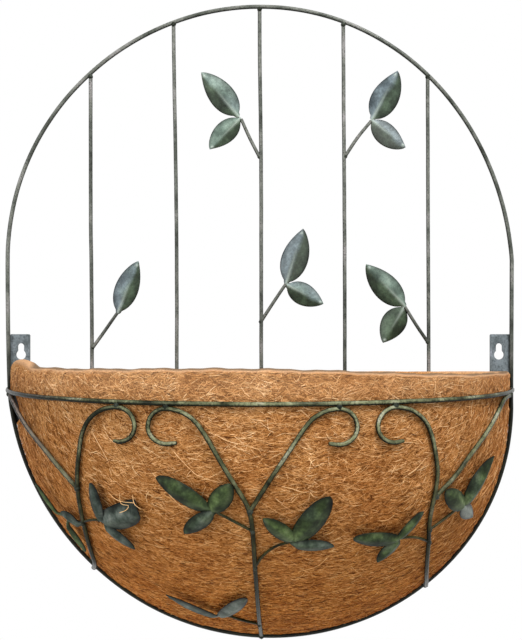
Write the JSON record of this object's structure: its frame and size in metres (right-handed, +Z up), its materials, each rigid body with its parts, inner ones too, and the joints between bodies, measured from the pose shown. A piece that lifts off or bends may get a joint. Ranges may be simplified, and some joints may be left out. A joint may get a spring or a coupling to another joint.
{
  "type": "wall planter",
  "caption": "Round-topped wire trellis with a bowed wire basket on its lower half, scrolled ribs, pressed-leaf sprigs, keyhole plates and a lift-out coir liner.",
  "frame": {"origin": "on the wall plane, midway between the seats of the two keyholes that hang on the wall's screws", "axes": "+X to the right seen from the front, +Y into the wall, +Z up"},
  "size_m": [0.501, 0.2163, 0.6235],
  "materials": {
    "loop_paint": "grey-green patina paint, satin, brushed lighter on the high sides",
    "rib_paint": "olive green patina paint over dark metal, satin",
    "plate_paint": "slate grey paint, satin",
    "back_leaf_paint": "blue-green grey patina paint, satin",
    "front_leaf_paint": "deep green patina paint with slate grey edges, satin",
    "coir": "matted coconut fibre, matt"
  },
  "bodies": {
    "frame": {"back_loop": "loop_paint", "trellis_rod_1": "loop_paint", "trellis_rod_2": "loop_paint", "trellis_rod_3": "loop_paint", "trellis_rod_4": "loop_paint", "trellis_rod_5": "loop_paint", "keyhole_plate_left": "plate_paint", "keyhole_plate_right": "plate_paint", "front_hoop": "loop_paint", "rib_left_scroll": "rib_paint", "rib_centre_scroll": "rib_paint", "rib_right_scroll": "rib_paint", "rib_left_branch": "rib_paint", "rib_centre_branch": "rib_paint", "rib_right_branch": "rib_paint", "back_sprig_top_left_stem": "loop_paint", "back_sprig_top_left_leaf_large": "back_leaf_paint", "back_sprig_top_left_leaf_small": "back_leaf_paint", "back_sprig_top_right_stem": "loop_paint", "back_sprig_top_right_leaf_large": "back_leaf_paint", "back_sprig_top_right_leaf_small": "back_leaf_paint", "back_sprig_low_left_stem": "loop_paint", "back_sprig_low_left_leaf_large": "back_leaf_paint", "back_sprig_low_centre_stem": "loop_paint", "back_sprig_low_centre_leaf_large": "back_leaf_paint", "back_sprig_low_centre_leaf_small": "back_leaf_paint", "back_sprig_low_right_stem": "loop_paint", "back_sprig_low_right_leaf_large": "back_leaf_paint", "back_sprig_low_right_leaf_small": "back_leaf_paint", "front_sprig_far_left_stem": "rib_paint", "front_sprig_far_left_leaf_short": "front_leaf_paint", "front_sprig_far_left_leaf_long": "front_leaf_paint", "front_sprig_far_left_leaf_low": "front_leaf_paint", "front_sprig_left_stem": "rib_paint", "front_sprig_left_leaf_upper": "front_leaf_paint", "front_sprig_left_leaf_broad": "front_leaf_paint", "front_sprig_left_leaf_low": "front_leaf_paint", "front_sprig_centre_left_stem": "rib_paint", "front_sprig_centre_left_leaf_long": "front_leaf_paint", "front_sprig_centre_left_leaf_upper": "front_leaf_paint", "front_sprig_centre_left_leaf_low": "front_leaf_paint", "front_sprig_centre_right_stem": "rib_paint", "front_sprig_centre_right_leaf_broad": "front_leaf_paint", "front_sprig_centre_right_leaf_upper": "front_leaf_paint", "front_sprig_centre_right_leaf_low": "front_leaf_paint", "front_sprig_right_stem": "rib_paint", "front_sprig_right_leaf_long": "front_leaf_paint", "front_sprig_right_leaf_upper": "front_leaf_paint", "front_sprig_right_leaf_low": "front_leaf_paint", "front_sprig_far_right_stem": "rib_paint", "front_sprig_far_right_leaf_upper": "front_leaf_paint", "front_sprig_far_right_leaf_long": "front_leaf_paint", "front_sprig_far_right_leaf_low": "front_leaf_paint", "front_sprig_foot_stem": "rib_paint", "front_sprig_foot_leaf_upper": "front_leaf_paint", "front_sprig_foot_leaf_long": "front_leaf_paint"},
    "liner": {"coir_liner": "coir"}
  },
  "joints": [
    {"name": "liner_lift", "type": "slide", "parent": "frame", "child": "liner", "axis": [0, 0, 1], "range_m": [0, 0.26]}
  ]
}
